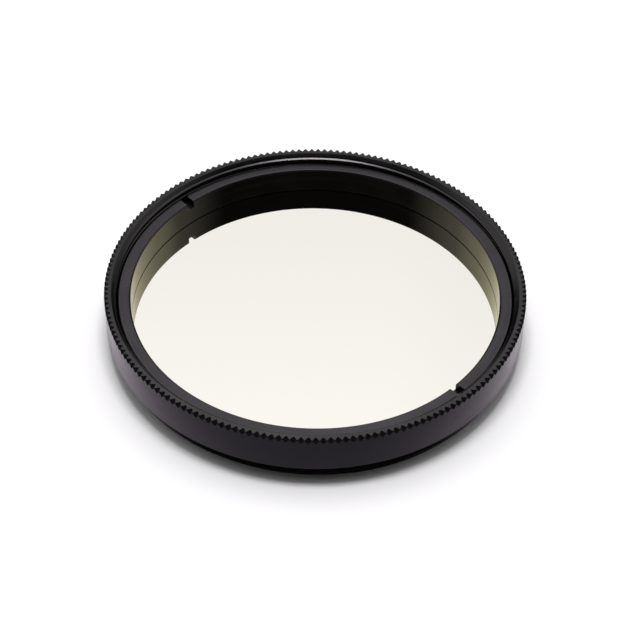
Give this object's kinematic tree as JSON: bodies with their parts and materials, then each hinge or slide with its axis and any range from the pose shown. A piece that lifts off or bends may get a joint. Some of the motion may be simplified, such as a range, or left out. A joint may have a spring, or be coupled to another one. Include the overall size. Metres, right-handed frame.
{
  "type": "optical bandpass filter",
  "caption": "Round mounted optical filter: black knurled cell with front and rear threads, a mirror-coated glass disc and a slotted retaining ring.",
  "frame": {"origin": "on the optical axis, at the end face of the male thread, which the filter lies on", "axes": "+Z along the optical axis, up towards the knurled rim"},
  "size_m": [0.05, 0.05, 0.0071],
  "materials": {
    "anodised_cell": "black anodised, fine turned satin",
    "coated_glass": "mirror-like dielectric coating",
    "anodised_ring": "black anodised, satin"
  },
  "bodies": {
    "root": {"filter_cell": "anodised_cell", "filter_glass": "coated_glass", "retaining_ring": "anodised_ring"}
  },
  "joints": []
}
